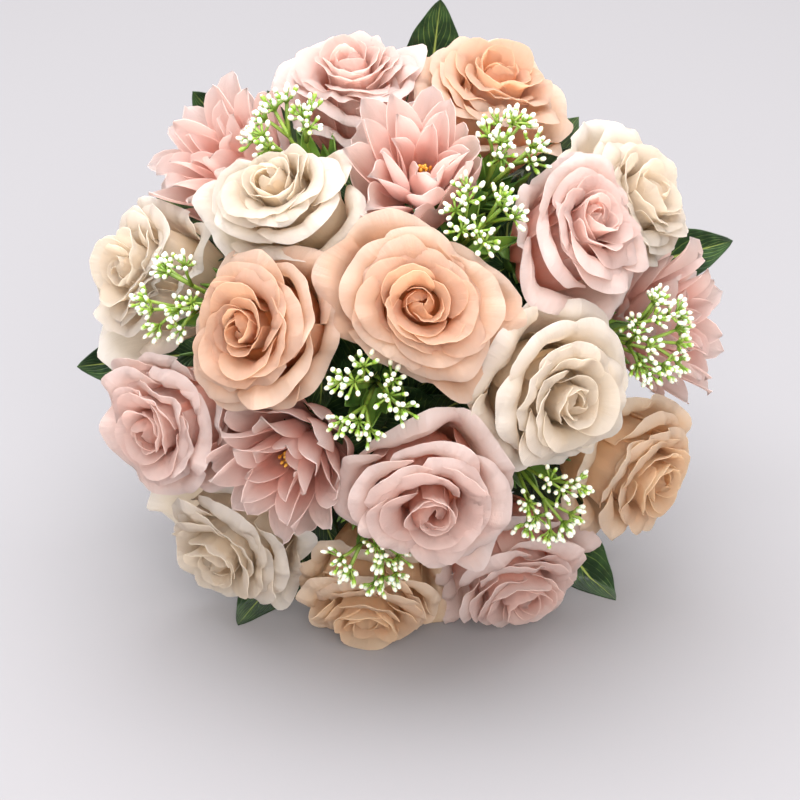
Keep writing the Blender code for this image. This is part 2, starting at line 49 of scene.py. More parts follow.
# How the bouquet lies
AXIS_RISE = 30.0
CENTRE_HEIGHT = 101.0
CENTRE_FORWARD = 22.1
CENTRE_LEFT = 2.5

# The room that flowers leave each other. A head that leans further than RIM_LEAN is at the rim.
HEAD_GAP = 0.1
OVERLAP = 3.0
WALL_PIVOT = 82.0
WALL_TILT = 14.0
WALL_SHARPNESS = 24
NEIGHBOUR_ANGLE = 75
RIM_LEAN = 50
LEAF_SPAN = 50
ROOM_ANGLES = 72
EVENED_OVER = 8
LEAF_CLEARANCE = 2.6
PRESS = 2.4

# Stems and their ribbon
STEM_RADIUS = 1.5
STALK_RADIUS = 1.4
BEND_UNDER_FLOWER = 26
BEND_ABOVE_NECK = 42
STEM_STEPS = 14
STEM_SPACING = 3.3
PUSHES = 400
LEAF_STALK_LEAN = 115
NECK = -78.0
RIBBON_TOP = -80.0
RIBBON_THICKNESS = 1.2
RIBBON_PITCH = 15
RIBBON_HEM = 0.4
RIBBON_GRID = 72, 120
SLEEVE_SIDES = 16
STEM_END_SHOWN = 10.0
SEAT_GAP = 0.3

Head = namedtuple("Head", "name kind tone lean clock base spread lift turn")
Leaf = namedtuple("Leaf", "name clock tip_out tip_up length turn")

ROSES = [
    Head("rose_peach_1", "rose", "peach", 6, 50, 75, 15.5, 0.6, 18),
    Head("rose_peach_2", "rose", "peach", 29.5, 180, 75, 15, 0.4, 50),
    Head("rose_peach_3", "rose", "peach", 68, 69, 71.5, 15, 0.1, 200),
    Head("rose_white_1", "rose", "white", 38.5, 131, 75, 14.5, 0.1, 95),
    Head("rose_white_2", "rose", "white", 36, 337.5, 75, 15.5, 0.4, 134),
    Head("rose_white_3", "rose", "white", 69, 29, 76, 14.5, 0.0, 254),
    Head("rose_white_4", "rose", "white", 68, 168, 74, 14.5, 0.0, 20),
    Head("rose_white_5", "rose", "white", 77, 231.5, 77, 15, 0.1, 330),
    Head("rose_pink_1", "rose", "pink", 35.5, 280, 75, 16, 0.5, 300),
    Head("rose_pink_2", "rose", "pink", 45, 30.5, 76, 16, 0.3, 175),
    Head("rose_pink_3", "rose", "pink", 68, 101, 70, 14.5, 0.1, 75),
    Head("rose_pink_4", "rose", "pink", 60, 202, 77, 14.5, 0.1, 219),
    Head("rose_pink_5", "rose", "pink", 78, 295, 77, 15, 0.0, 120),
    Head("rose_cream_1", "rose", "cream", 77, 264, 75.5, 15, 0.0, 31),
    Head("rose_cream_2", "rose", "cream", 79, 330, 78, 14.5, 0.0, 256),
]
DAHLIAS = [
    Head("dahlia_1", "dahlia", "blush", 37.5, 82, 76, 13.5, 0.6, 15),
    Head("dahlia_2", "dahlia", "blush", 70, 135, 77, 14, 0.2, 54),
    Head("dahlia_3", "dahlia", "blush", 40.5, 229, 75, 14, 0.3, 94),
    Head("dahlia_4", "dahlia", "blush", 83, 2, 82, 14, 0.1, 127),
]
SPRAYS = [
    Head("spray_1", "spray", "green", 14.6, 245, 82, 7.5, 1.2, 0),
    Head("spray_2", "spray", "green", 52, 172, 82, 8.5, 1.4, 40),
    Head("spray_3", "spray", "green", 28, 54, 82, 6.5, 1.4, 80),
    Head("spray_4", "spray", "green", 53, 120, 82, 7.5, 1.4, 120),
    Head("spray_5", "spray", "green", 48, 59, 82, 6, 1.4, 160),
    Head("spray_6", "spray", "green", 63, 358, 84, 9.5, 1.4, 207),
    Head("spray_7", "spray", "green", 53, 311, 82, 7.5, 1.4, 240),
    Head("spray_8", "spray", "green", 54, 263, 82, 7, 1.2, 280),
]
SPRAY_ARMS = {"spray_6": 5}
USUAL_ARMS = 3
SIDE_BUDS = 7
TOP_BUDS = 2
SPRIG_BLADES = 14
LEAVES = [
    Leaf("leaf_spray_1", 83, 133.5, -12, 50, 1),
    Leaf("leaf_spray_2", 131, 127, -14, 48, -5),
    Leaf("leaf_spray_3", 186.5, 131, -14, 50, 3),
    Leaf("leaf_spray_4", 243, 142.1, -3.4, 60, -4),
    Leaf("leaf_spray_5", 307.5, 143, -15.5, 52, 5),
    Leaf("leaf_spray_6", 15, 140, -24, 52, -3),
]
SPRAY_REACH = 117.0
LEAF_HALF_WIDTH = 13.0
LEAF_ARCH = 3.0
LEAFLET_SCALE = 0.66
LEAFLET_ANGLE = 52.0
LEAFLET_BACK = 12.0

# How finely a sheet is divided, across and along
OPEN_GRID = 24, 16
HEART_GRID = 14, 12
PACKING_GRID = 28, 6
DAHLIA_GRID = 10, 14
BLADE_GRID = 6, 10
SMALL_BLADE_GRID = 4, 8
LEAF_GRID = 14, 26
LEAFLET_GRID = 12, 20

# Leaves under a flower: how many, how far they rise, how far below the base they start, and their size
Whorl = namedtuple("Whorl", "leaves rise below length half_width grid")
WHORLS = [
    Whorl(6, (0.30, 0.42), 9.5, (33, 38), (10, 12), BLADE_GRID),
    Whorl(4, (0.0, 0.3), 22, (28, 34), (11, 13), SMALL_BLADE_GRID),
]

# Blades behind the rim, to fill the gaps between flowers: their clock angles, by the flower of their stem
REAR_BLADES = {"dahlia_2": [151, 145], "rose_pink_3": [119, 112], "rose_white_3": [50, 43],
               "rose_cream_2": [317]}
REAR_BLADE_LEAN = 94
REAR_BLADE_START = 60

# How far the faces at the rim of the dome turn to the front
NOD = 0.35

# Rings of petals, outermost first. half_width is an angle in a rose and a length in a dahlia.
Ring = namedtuple("Ring", "petals radius height length foot belly lip turn_at half_width tuck wave")
ROSE_RINGS = [
    Ring(5, 4.4, 0.0, 51.0, 10, 58, -30, 0.72, 44, 1.2, 2.6),
    Ring(5, 4.4, 1.5, 50.5, 20, 81, -25, 0.74, 52, 1.8, 1.9),
    Ring(5, 4.2, 3.0, 48.5, 32, 88, -15, 0.72, 52, 1.6, 1.6),
    Ring(4, 4.0, 4.5, 46.5, 38, 91, 0, 0.70, 60, 1.5, 1.2),
    Ring(4, 3.9, 6.0, 44.0, 46, 93, 25, 0.68, 62, 1.4, 0.9),
    Ring(3, 3.6, 8.0, 40.0, 58, 94, 55, 0.68, 78, 1.2, 0.4),
    Ring(3, 3.3, 9.0, 37.5, 64, 94, 80, 0.70, 80, 1.0, 0.2),
    Ring(3, 3.0, 10.0, 38.0, 67, 93, 165, 0.80, 84, 0.8, 0.0),
]
DAHLIA_RINGS = [
    Ring(8, 5, 1.0, 42, 14, 44, 20, 0.66, 8.4, 0, 0.8),
    Ring(8, 5, 3.0, 41, 30, 58, 44, 0.68, 8.0, 0, 0.8),
    Ring(7, 5, 5.5, 38, 44, 66, 50, 0.70, 7.2, 0, 0.7),
    Ring(5, 5, 7.5, 34, 56, 76, 56, 0.70, 6.2, 0, 0.6),
    Ring(4, 4, 9.0, 27, 66, 84, 60, 0.70, 4.6, 0, 0.5),
]
OPEN_RINGS = 4
INNERMOST = len(ROSE_RINGS) - 1
MIDRIB_STEPS = 80
GOLDEN_ANGLE = 2.4

# The cloth packed between the cups of a rose, and the tuft of a dahlia
PACKING_RADIUS = 17
PACKING_TOP = 36
PACKING_FALL = 10
FILAMENTS = 15
FILAMENT_TOP = 22.5

# The share of its room that a rose's cup takes, and the size of open petals on roses at the rim
CUPPED = 0.97
RIM_SIZE = 0.94

# How thick the cloth is
PETAL_CLOTH = 0.22
BLADE_CLOTH = 0.5

# The first seed of each kind's random draws
SEEDS = {"rose": 100, "dahlia": 200, "spray": 300, "leaf": 400, "stem": 500}

FLOOR_SIZE = 40.0

# The camera: its lens, its distance in metres, and how far below the dome's centre it aims, in degrees
LENS = 118.8
CAMERA_DISTANCE = 1.05
CAMERA_DROP = 1.52


# Shapes

def smooth(x):
    """An even step from 0 to 1."""
    x = np.clip(x, 0.0, 1.0)
    return x * x * (3 - 2 * x)


def unit(vector):
    return vector / np.linalg.norm(vector)


def polar(lean, clock):
    """The direction that leans from the axis, at a clock angle round it."""
    lean, clock = math.radians(lean), math.radians(clock)
    return np.array([math.sin(lean) * math.cos(clock), math.sin(lean) * math.sin(clock), math.cos(lean)])


def head_axes(head):
    """A head's own axes: two across its face, and the one that it looks along."""
    lean, clock = math.radians(head.lean), math.radians(head.clock)
    down = np.array([math.cos(lean) * math.cos(clock), math.cos(lean) * math.sin(clock), -math.sin(lean)])
    side = np.array([-math.sin(clock), math.cos(clock), 0.0])
    return down, side, polar(head.lean, head.clock)


DOWN = np.array([0.0, -math.cos(math.radians(AXIS_RISE)), -math.sin(math.radians(AXIS_RISE))])


def laid_down(points):
    """Points of the bouquet's frame, in metres where the bouquet lies."""
    slope = math.radians(90 - AXIS_RISE)
    x, y, z = np.asarray(points, float).T
    return np.stack([x - CENTRE_LEFT,
                     y * math.cos(slope) - z * math.sin(slope) - CENTRE_FORWARD,
                     y * math.sin(slope) + z * math.cos(slope) + CENTRE_HEIGHT], -1) * MM


def in_head(head, x, y, z):
    """Points given across a head's face and up from its base, in the bouquet's frame."""
    down, side, out = head_axes(head)
    nod = NOD * smooth((head.lean - 35) / 45) * smooth(z / 22)
    return np.outer(x, down) + np.outer(y, side) + np.outer(head.base + z + nod * x, out)


def leaf_line(leaf):
    """Where a leaf's blade starts, its direction, the direction across it, and the side of the heads."""
    clock = math.radians(leaf.clock)
    outward = np.array([math.cos(clock), math.sin(clock), 0.0])
    across = np.array([-math.sin(clock), math.cos(clock), 0.0])
    tip = outward * leaf.tip_out + np.array([0, 0, leaf.tip_up])
    along = unit(outward + np.array([0, 0, 0.45]))
    front = unit(np.cross(across, along))
    if front[2] < 0:
        front = -front
    return tip - along * leaf.length, along, across, front


def walls_of(head):
    """The flat walls that a head stays behind: a point on each, and its outward direction."""
    mine = polar(head.lean, head.clock)
    walls = [(DOWN * (CENTRE_HEIGHT + PRESS), DOWN)]
    for other in ROSES + DAHLIAS + SPRAYS:
        theirs = polar(other.lean, other.clock)
        angle = math.acos(min(1.0, mine @ theirs))
        if other is head or angle > math.radians(NEIGHBOUR_ANGLE):
            continue
        share = head.spread / (head.spread + other.spread)
        between = (mine * math.sin((1 - share) * angle) + theirs * math.sin(share * angle)) / math.sin(angle)
        outward = unit(theirs - (theirs @ between) * between)
        tilt = math.radians(WALL_TILT) * (head.lift - other.lift)
        walls.append((between * WALL_PIVOT, outward * math.cos(tilt) - between * math.sin(tilt)))
    for leaf in LEAVES:
        apart = (leaf.clock - head.clock + 180) % 360 - 180
        if abs(apart) < LEAF_SPAN and head.lean > RIM_LEAN:
            start, _, _, front = leaf_line(leaf)
            walls.append((start + front * LEAF_CLEARANCE, -front))
    return walls


def room_left(points, head, margin):
    """The share of each point's distance from its head's axis that keeps it from passing a wall."""
    out = polar(head.lean, head.clock)
    foot = np.outer(points @ out, out)
    crowding = np.zeros(len(points))
    for place, normal in walls_of(head):
        room = np.maximum((place - foot) @ normal - margin, 1.0)
        crowding += (np.clip((points - foot) @ normal, 0, None) / room) ** WALL_SHARPNESS
    return (1 + crowding) ** (-1 / WALL_SHARPNESS)


def squeeze(points, head, margin):
    """Draw points in towards a head's axis, so that none passes one of its walls."""
    out = polar(head.lean, head.clock)
    foot = np.outer(points @ out, out)
    return foot + (points - foot) * room_left(points, head, margin)[:, None]


def above_surface(points, lift):
    """Points raised, where they are too low, until they are a lift above the surface."""
    return points - np.outer(np.clip(points @ DOWN - CENTRE_HEIGHT + lift, 0, None), DOWN)


def midrib(ring, share):
    """Radius, height and slope of a petal's midrib at shares of its length."""
    steps = np.linspace(0, 1, MIDRIB_STEPS + 1)
    slope = np.radians(
        ring.foot
        + (ring.belly - ring.foot) * smooth(steps / 0.5)
        + (ring.lip - ring.belly) * smooth((steps - ring.turn_at) / (1 - ring.turn_at))
    )
    middle = (slope[1:] + slope[:-1]) / 2
    step = ring.length / MIDRIB_STEPS
    radius = ring.radius + np.concatenate([[0], np.cumsum(np.cos(middle) * step)])
    height = ring.height + np.concatenate([[0], np.cumsum(np.sin(middle) * step)])
    return tuple(np.interp(share, steps, values) for values in (radius, height, slope))


# Meshes

def sheet_mesh():
    """An empty mesh that carries where each corner is on a petal, and how deep in its flower the petal is."""
    bm = bmesh.new()
    bm.loops.layers.uv.new("petal")
    bm.verts.layers.float.new("depth")
    return bm


def add_sheet(bm, grid, shape, depth=0.0):
    """Add a sheet: shape turns u from -1 to 1 and v from 0 to 1 into points and shares of the length."""
    columns, rows = grid
    verts = bmesh.ops.create_grid(bm, x_segments=columns, y_segments=rows, size=1)["verts"]
    flat = np.array([tuple(vert.co) for vert in verts])
    u, v = flat[:, 0], (flat[:, 1] + 1) / 2
    points, share = shape(u, v)
    uv_layer = bm.loops.layers.uv["petal"]
    depth_layer = bm.verts.layers.float["depth"]
    for vert, point, across, along in zip(verts, laid_down(points), u, share):
        vert.co = point
        vert[depth_layer] = depth
        for loop in vert.link_loops:
            loop[uv_layer].uv = (0.5 + 0.5 * across, along)
            loop.face.smooth = True


def add_turned(bm, profile, columns, shape):
    """Add a closed body turned from a profile: shape turns angles, radii and heights into points."""
    rows = len(profile) - 1
    verts = bmesh.ops.create_grid(bm, x_segments=columns, y_segments=rows, size=1)["verts"]
    flat = np.array([tuple(vert.co) for vert in verts])
    angle = (flat[:, 0] + 1) * math.pi
    row = np.round((flat[:, 1] + 1) / 2 * rows).astype(int)
    radius, height = np.array(profile, float)[row].T
    uv_layer = bm.loops.layers.uv["petal"]
    for vert, point, across, along in zip(verts, laid_down(shape(angle, radius, height)), angle, row / rows):
        vert.co = point
        for loop in vert.link_loops:
            loop[uv_layer].uv = (across / (2 * math.pi), along)
            loop.face.smooth = True
    bmesh.ops.remove_doubles(bm, verts=verts, dist=1e-6)


def add_rods(bm, rods, roundness=1):
    """Add round rods: each is a list of points with a radius at each."""
    curve = bpy.data.curves.new("rods", "CURVE")
    curve.dimensions = "3D"
    curve.bevel_depth = MM
    curve.bevel_resolution = roundness
    curve.use_fill_caps = True
    for points, radii in rods:
        spline = curve.splines.new("POLY")
        spline.points.add(len(points) - 1)
        for place, point, radius in zip(spline.points, laid_down(points), radii):
            place.co = (*point, 1)
            place.radius = radius
        spline.use_smooth = True
    line = bpy.data.objects.new("rods", curve)
    bpy.context.scene.collection.objects.link(line)
    mesh = bpy.data.meshes.new_from_object(line.evaluated_get(bpy.context.evaluated_depsgraph_get()))
    bpy.data.objects.remove(line)
    bm.from_mesh(mesh)
    bpy.data.meshes.remove(mesh)
    bmesh.ops.remove_doubles(bm, verts=bm.verts, dist=1e-6)


def keep(name, bm, material, slot, node, thickness=None):
    """Make a mesh a piece of the bouquet, in the place of a solid."""
    bmesh.ops.recalc_face_normals(bm, faces=bm.faces)
    mesh = bpy.data.meshes.new(name)
    bm.to_mesh(mesh)
    bm.free()
    mesh.materials.append(material)
    piece = bpy.data.objects.new(name, mesh)
    bpy.context.scene.collection.objects.link(piece)
    if thickness:
        wall = piece.modifiers.new("thickness", "SOLIDIFY")
        wall.thickness = thickness * MM
        wall.offset = 0
        crisp = piece.modifiers.new("crisp edges", "EDGE_SPLIT")
        crisp.split_angle = math.radians(50)
    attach(piece, "root")
    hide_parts(node)


# Finishes

class Shade:
    """An output of a material's nodes, on which arithmetic adds Math nodes."""

    def __init__(self, tree, socket=None):
        self.tree = tree
        self.socket = socket

    def make(self, kind, settings=None, values=None, output=0):
        """Add a node with its settings, and the values or links of its inputs."""
        node = self.tree.nodes.new(kind)
        for name, value in (settings or {}).items():
            setattr(node, name, value)
        for name, value in (values or {}).items():
            if isinstance(value, Shade):
                self.tree.links.new(value.socket, node.inputs[name])
            else:
                node.inputs[name].default_value = value
        return Shade(self.tree, node.outputs[output])

    def maths(self, operation, *others):
        return self.make("ShaderNodeMath", {"operation": operation}, dict(enumerate((self, *others))))

    def __add__(self, other):
        return self.maths("ADD", other)

    def __sub__(self, other):
        return self.maths("SUBTRACT", other)

    def __rsub__(self, other):
        return self.make("ShaderNodeMath", {"operation": "SUBTRACT"}, {0: other, 1: self})

    def __mul__(self, other):
        return self.maths("MULTIPLY", other)

    __radd__ = __add__
    __rmul__ = __mul__

    def step(self, low, high):
        """0 below low, 1 above high, and smooth between."""
        return self.make("ShaderNodeMapRange", {"interpolation_type": "SMOOTHSTEP"},
                         {"Value": self, "From Min": low, "From Max": high})

    def blend(self, first, second):
        """A colour that goes from the first to the second as this goes from 0 to 1."""
        return self.make("ShaderNodeMix", {"data_type": "RGBA"}, {0: self, 6: first, 7: second}, 2)


def linear(red, green, blue):
    """A colour given as on a screen, from 0 to 255, as a shader takes it."""
    return tuple((c / 255 / 12.92 if c < 11 else ((c / 255 + 0.055) / 1.055) ** 2.4)
                 for c in (red, green, blue)) + (1.0,)


def new_material(name, roughness, **constants):
    """A material with its fixed values, its principled shader, and a start for its shading."""
    material = bpy.data.materials.new(name)
    material.use_nodes = True
    tree = material.node_tree
    shader = tree.nodes["Principled BSDF"]
    shader.inputs["Roughness"].default_value = roughness
    for socket, value in constants.items():
        shader.inputs[socket.replace("_", " ")].default_value = value
    return material, shader, Shade(tree)


def paint(shader, start, colour, height, depth, strength, roughness=None):
    """Join a colour, a relief of a depth in metres, and any roughness that varies to a principled shader."""
    links = start.tree.links
    links.new(colour.socket, shader.inputs["Base Color"])
    if roughness:
        links.new(roughness.socket, shader.inputs["Roughness"])
    bump = start.make("ShaderNodeBump", {}, {"Height": height, "Distance": depth, "Strength": strength})
    links.new(bump.socket, shader.inputs["Normal"])


def sheet_place(start):
    """Across a sheet and along it, both from 0 to 1."""
    place = start.make("ShaderNodeUVMap", {"uv_map": "petal"})
    split = start.make("ShaderNodeSeparateXYZ", {}, {0: place})
    return split, Shade(start.tree, split.socket.node.outputs[1])


def noise(start, scale, detail=2.0, place=None):
    """Noise of a scale, through the piece's own coordinates unless another place is given."""
    place = place or start.make("ShaderNodeTexCoord", output=3)
    return start.make("ShaderNodeTexNoise", {}, {"Vector": place, "Scale": scale, "Detail": detail})


def silk(name, deep_dye_and_shade, body, lip, glow):
    """Cloth that lets light through, deep in the heart and at a petal's foot (partly dye, partly painted
    shade), pale at its lip (partly a paler edge, partly a painted highlight).
    """
    material, shader, start = new_material(
        name, 0.72, Sheen_Weight=0.08, Sheen_Roughness=0.4, Specular_IOR_Level=0.25)
    across, along = sheet_place(start)
    depth = start.make("ShaderNodeAttribute", {"attribute_name": "depth"}, output=2)
    fibre = start.make("ShaderNodeCombineXYZ", {}, {0: across * 46, 1: along * 3, 2: depth * 37})
    fold = start.make("ShaderNodeCombineXYZ", {}, {0: across * 15, 1: along * 2.2, 2: depth * 53})
    streak = noise(start, 1.0, 3.0, fibre)
    blotch = noise(start, 55.0)
    height_on_petal = along + (streak - 0.5) * 0.16 + (blotch - 0.5) * 0.22
    # The deep colour towards the heart and at a petal's foot is partly dye and partly painted shade.
    colour = height_on_petal.step(depth * 0.3 + 0.35, depth * 0.2 + 0.8).blend(linear(*deep_dye_and_shade), linear(*body))
    # A pale band along the lip, fainter on inner petals: partly the cloth's paler edge, partly a painted
    # highlight.
    rim = (along + (streak - 0.5) * 0.12).step(0.8, 1.0) * (1 - depth * 0.8)
    colour = (rim * 0.75).blend(colour, linear(*lip))
    weave = (across * 900).maths("SINE") + (along * 900).maths("SINE")
    folds = noise(start, 1.0, 3.0, fold)
    relief = weave * 0.05 + streak * 0.35 + folds * 1.5 + noise(start, 420.0) * 0.2
    paint(shader, start, colour, relief, 0.002, 0.8)
    through = start.make("ShaderNodeBsdfTranslucent", {}, {"Color": linear(*glow)})
    passing = 0.66 + depth * 0.16 - rim * 0.12
    surface = Shade(start.tree, shader.outputs[0])
    cloth = start.make("ShaderNodeMixShader", {}, {0: passing, 1: surface, 2: through})
    start.tree.links.new(cloth.socket, start.tree.nodes["Material Output"].inputs["Surface"])
    return material


def moulded_green(name, dark, light):
    material, shader, start = new_material(name, 0.5, Subsurface_Weight=0.1, Subsurface_Scale=0.001)
    patch = noise(start, 90.0, 3.0)
    colour = patch.step(0.3, 0.7).blend(linear(*dark), linear(*light))
    paint(shader, start, colour, noise(start, 900.0), 0.0001, 0.3, patch * 0.25 + 0.38)
    return material


def waxy_bud():
    material, shader, start = new_material("bud", 0.35, Subsurface_Weight=0.3, Subsurface_Scale=0.0015)
    _, along = sheet_place(start)
    young = start.make("ShaderNodeAttribute", {"attribute_name": "depth"}, output=2)
    colour = (along - young * 0.7).step(0.05, 0.5).blend(linear(136, 172, 60), linear(222, 226, 208))
    paint(shader, start, colour, noise(start, 700.0), 0.00008, 0.3)
    return material


def stamen_yellow():
    material, shader, start = new_material("stamen", 0.6, Subsurface_Weight=0.1, Subsurface_Scale=0.001)
    colour = noise(start, 500.0).step(0.35, 0.65).blend(linear(196, 120, 30), linear(236, 190, 80))
    paint(shader, start, colour, noise(start, 1500.0), 0.0001, 0.6)
    return material


def leaf_cloth():
    """Coated cloth printed with a pale midrib and side veins that sweep to the tip."""
    material, shader, start = new_material("leaf", 0.42, Specular_IOR_Level=0.45)
    across, along = sheet_place(start)
    off = (across - 0.5).maths("ABSOLUTE")
    ridge = (along * 9.0 - off * 9.0 + noise(start, 120.0) * 0.5).maths("PINGPONG", 0.5)
    side_vein = (1 - ridge.step(0.02, 0.13)) * (1 - off.step(0.30, 0.5))
    rib = 1 - off.step(0.008, 0.03)
    patch = noise(start, 130.0, 3.0)
    green = patch.step(0.35, 0.7).blend(linear(24, 46, 24), linear(48, 76, 40))
    green = (side_vein * patch.step(0.3, 0.6) * 0.6).blend(green, linear(112, 138, 66))
    colour = (rib * (1 - along.step(0.5, 1.0) * 0.5)).blend(green, linear(150, 166, 84))
    relief = (1 - ridge.step(0.0, 0.2)) * -0.6 - rib * 0.9 + noise(start, 800.0) * 0.25
    paint(shader, start, colour, relief, 0.0004, 0.6, patch * 0.2 + 0.32)
    return material


def satin():
    """Ivory satin with its fine ribs lying along the winding."""
    material, shader, start = new_material("satin", 0.34, Sheen_Weight=0.4, Sheen_Roughness=0.3,
                                           Subsurface_Weight=0.05, Subsurface_Scale=0.001)
    across, along = sheet_place(start)
    ribs = (along * 1500 + across * 60).maths("SINE")
    pull = noise(start, 60.0)
    colour = pull.step(0.3, 0.7).blend(linear(204, 192, 172), linear(224, 214, 197))
    relief = ribs * 0.1 + pull * 0.8 + noise(start, 350.0) * 0.2
    paint(shader, start, colour, relief, 0.0003, 0.5, pull * 0.2 + 0.26)
    return material


# Deep (partly painted shade), body and lip (partly a painted highlight) of each silk, and the colour that
# light takes in passing through it
SILKS = {
    "peach": silk("peach_silk", (254, 172, 108), (234, 210, 190), (242, 231, 222), (255, 228, 203)),
    "white": silk("white_silk", (255, 228, 190), (246, 239, 228), (250, 249, 250), (255, 246, 233)),
    "pink": silk("pink_silk", (253, 154, 118), (244, 228, 222), (248, 243, 243), (255, 235, 228)),
    "cream": silk("cream_silk", (254, 211, 154), (247, 228, 202), (248, 241, 231), (255, 234, 208)),
    "blush": silk("blush_silk", (254, 184, 168), (247, 230, 226), (249, 244, 244), (255, 237, 231)),
}
TWIG_GREEN = moulded_green("twig_green", (98, 128, 38), (142, 168, 70))
SPRIG_GREEN = moulded_green("sprig_green", (52, 84, 30), (104, 138, 50))
STEM_GREEN = moulded_green("stem_green", (58, 92, 36), (98, 132, 56))
BUD = waxy_bud()
STAMEN = stamen_yellow()
LEAF_CLOTH = leaf_cloth()
SATIN = satin()
FLOOR = new_material("floor", 0.9, Base_Color=linear(134, 133, 136))[0]


# Flowers

def rose_room(head, rings, gap):
    """The share of its width that each side of a rose keeps between its neighbours, at even angles."""
    angle = np.linspace(0, 2 * math.pi, ROOM_ANGLES + 1)[:-1]
    least = np.ones_like(angle)
    for ring in rings:
        for share in (0.6, 0.8, 1.0):
            radius, height, _ = midrib(ring, share)
            around = in_head(head, radius * np.cos(angle), radius * np.sin(angle), height + 0 * angle)
            least = np.minimum(least, room_left(around, head, gap))
    return angle, least


def rose_petal(head, ring, layer, spin, room, draw):
    """The shape of one petal of a rose: cupped, tucked under the next, its lip rolled out and waved."""
    opened = layer < OPEN_RINGS
    calm = 1 - layer / 9
    size = 1 + (RIM_SIZE - 1) * smooth((head.lean - RIM_LEAN) / 15) * opened
    ring = ring._replace(length=ring.length * size * draw.uniform(0.95, 1.03),
                         belly=ring.belly + draw.uniform(-3, 3), lip=ring.lip + draw.uniform(-32, 22))
    phase = [draw.uniform(0, 2 * math.pi) for _ in range(5)]
    point = draw.uniform(0.0, 0.10) * opened
    corner = draw.uniform(0.0, 0.08) * opened
    offset = draw.uniform(-0.5, 0.5)
    curl = draw.uniform(0.2, 2.4) * (1 - layer / INNERMOST)
    ruffle = draw.uniform(0.25, 0.6) * calm
    tuck = ring.tuck + draw.uniform(-0.3, 0.9)
    angles, least = room
    crowded = 1 - 0.1 * max(layer - 1, 0)

    def shape(u, v):
        edge = 1 - 0.13 * np.abs(u) ** 2.6 + point * np.exp(-np.abs(u + offset * 0.3) / 0.16)
        edge = edge + corner * np.exp(-np.abs(u - 0.62) / 0.12)
        edge = edge + 0.006 * np.sin(6 * u + phase[0]) + 0.002 * np.sin(21 * u + phase[1])
        share = v * edge
        radius, height, slope = midrib(ring, share)
        wide = math.radians(ring.half_width) * (0.62 + 0.38 * smooth(share / 0.6))
        wave = ring.wave * share**4 * (np.sin(3.4 * u + phase[2]) + 0.35 * np.sin(8.3 * u + phase[3]))
        wave = wave + ruffle * share**9 * (np.sin(11 * u + phase[4]) + 0.7 * np.sin(19 * u + phase[1]))
        crumple = (np.sin(9 * u + 5 * share + phase[0]) + np.sin(13 * u - 8 * share + phase[2])
                   + np.sin(5 * u + 12 * share + phase[3])) * 0.3 * share * calm
        out = tuck * u + offset * share + curl * np.abs(u) ** 3 * share**3 + wave + crumple
        radius = radius + out * np.sin(slope)
        height = height - out * np.cos(slope) - 1.2 * np.abs(u) ** 3 * share**4
        angle = spin + wide * u
        kept = np.interp(angle, angles, least, period=2 * math.pi)
        radius = np.maximum(radius, 0.2) * (1 - (1 - kept) * crowded)
        points = in_head(head, radius * np.cos(angle), radius * np.sin(angle), height)
        return above_surface(points, PETAL_CLOTH / 2), share

    return shape


def rose_packing(head, cup):
    """The shape of the cloth packed between the cups of a rose, a low dome under their lips."""
    def shape(u, v):
        angle = math.pi * u
        radius = PACKING_RADIUS * v * np.interp(angle, *cup, period=2 * math.pi)
        height = PACKING_TOP - PACKING_FALL * v**1.3 + 0.6 * v * np.sin(7 * angle + head.turn)
        return in_head(head, radius * np.cos(angle), radius * np.sin(angle), height), 0 * v

    return shape


def make_rose(head, seed):
    """A rose: an outer ring that reaches a little past its walls, and rings of cups inside them."""
    draw = random.Random(seed)
    bm = sheet_mesh()
    angles, least = rose_room(head, ROSE_RINGS[1:OPEN_RINGS], HEAD_GAP)
    turns = range(-EVENED_OVER, EVENED_OVER + 1)
    weights = np.hanning(len(turns)) / np.hanning(len(turns)).sum()
    even = sum(weight * np.roll(least, turn) for weight, turn in zip(weights, turns))
    cup = angles, np.minimum(even * CUPPED, least * 1.05)
    rooms = [rose_room(head, ROSE_RINGS[:1], -OVERLAP)] + [cup] * INNERMOST
    for layer, ring in enumerate(ROSE_RINGS):
        grid = OPEN_GRID if layer < OPEN_RINGS else HEART_GRID
        start = layer * 2 / 15
        for count in range(ring.petals):
            place = (count + 0.5) / ring.petals + start
            spin = math.radians(head.turn) + 2 * math.pi * place + draw.uniform(-0.08, 0.08)
            shape = rose_petal(head, ring, layer, spin, rooms[layer], draw)
            add_sheet(bm, grid, shape, layer / INNERMOST)
    # The packing takes the deep colour all over, which is partly painted shade.
    add_sheet(bm, PACKING_GRID, rose_packing(head, cup), 1.0)
    keep(head.name + "_petals", bm, SILKS[head.tone], head.tone, head.name, PETAL_CLOTH)


def dahlia_petal(head, ring, spin, draw):
    """The shape of one petal of a dahlia: pointed, folded along its middle, the tip a little twisted."""
    ring = ring._replace(length=ring.length * draw.uniform(0.9, 1.05), lip=ring.lip + draw.uniform(-34, 22),
                         belly=ring.belly + draw.uniform(-6, 6))
    twist, lean, fold = draw.uniform(-2.4, 2.4), draw.uniform(-1.6, 1.6), draw.uniform(2.6, 4.6)
    phase = draw.uniform(0, 2 * math.pi)

    def shape(u, v):
        radius, height, slope = midrib(ring, v)
        taper = np.clip(1 - ((v - 0.55) / 0.45).clip(0) ** 2, 0, 1) ** 0.65
        width = ring.half_width * (0.35 + 0.65 * smooth(v / 0.5)) * taper
        cup = fold * (np.abs(u) ** 1.4 + 0.3 * np.abs(u) ** 6) * np.sin(math.pi * np.clip(v, 0, 1)) ** 0.6
        cup = cup + twist * u * v**3 + ring.wave * 0.4 * np.sin(6 * v + phase) * u
        radius = radius - cup * np.sin(slope)
        height = height + cup * np.cos(slope)
        sideways = width * u + lean * v * v
        x = radius * math.cos(spin) - sideways * math.sin(spin)
        y = radius * math.sin(spin) + sideways * math.cos(spin)
        points = squeeze(in_head(head, x, y, height), head, HEAD_GAP + PETAL_CLOTH / 2)
        return above_surface(points, PETAL_CLOTH / 2), v

    return shape


